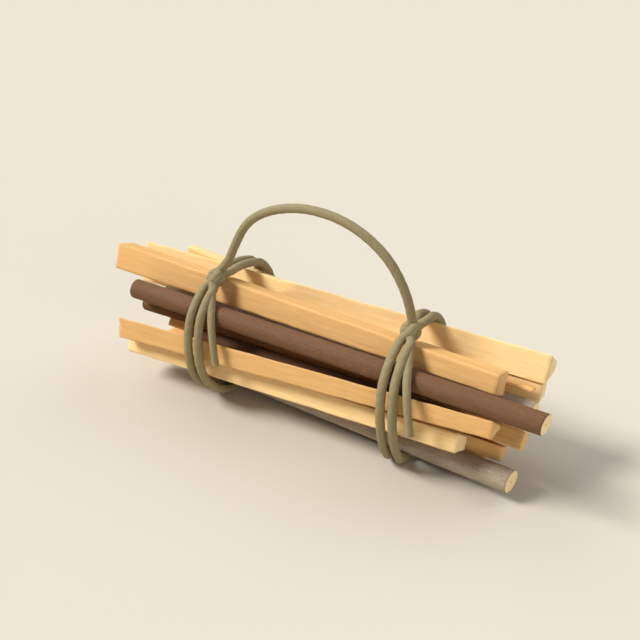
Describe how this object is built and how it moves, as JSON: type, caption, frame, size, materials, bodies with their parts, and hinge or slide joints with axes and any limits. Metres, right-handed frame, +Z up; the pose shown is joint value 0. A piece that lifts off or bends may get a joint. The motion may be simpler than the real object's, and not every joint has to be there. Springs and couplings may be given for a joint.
{
  "type": "bundle of twigs",
  "caption": "Bundle of round twigs and split kindling sticks, tied with natural cord in two places, with a stiff carrying handle of the same cord.",
  "frame": {"origin": "middle of the bundle's box at its lowest level, where the ties touch the ground", "axes": "+X along the bundle towards the cut ends of the longest twig, +Y towards the back, away from the knots and their cord ends, +Z up through the carrying handle"},
  "size_m": [0.3376, 0.1009, 0.1634],
  "materials": {
    "orange_wood": "split orange-tan heartwood, matt",
    "pale_wood": "split pale sapwood, matt",
    "brown_bark": "smooth brown bark with cut ends of pale wood",
    "grey_bark": "weathered grey bark with cut ends of pale wood",
    "cord": "laid natural fibre cord, matt"
  },
  "bodies": {
    "root": {"orange_stick_top": "orange_wood", "thin_splint": "orange_wood", "orange_stick_front": "orange_wood", "orange_stick_inner": "orange_wood", "orange_stick_low": "orange_wood", "orange_stick_back": "orange_wood", "orange_stick_bottom": "orange_wood", "orange_stick_middle_low": "orange_wood", "pale_stick_top": "pale_wood", "pale_stick_top_back": "pale_wood", "pale_stick_upper": "pale_wood", "pale_stick_front_low": "pale_wood", "pale_stick_back_low": "pale_wood", "pale_stick_middle": "pale_wood", "brown_twig_front": "brown_bark", "brown_twig_inner": "brown_bark", "grey_twig_upper": "grey_bark", "brown_twig_low": "brown_bark", "brown_twig_back": "brown_bark", "grey_twig_bottom": "grey_bark", "left_tie_outer_turn": "cord", "left_tie_inner_turn": "cord", "left_knot": "cord", "left_cord_end": "cord", "right_tie_outer_turn": "cord", "right_tie_inner_turn": "cord", "right_knot": "cord", "right_cord_end": "cord", "carrying_handle": "cord"}
  },
  "joints": []
}
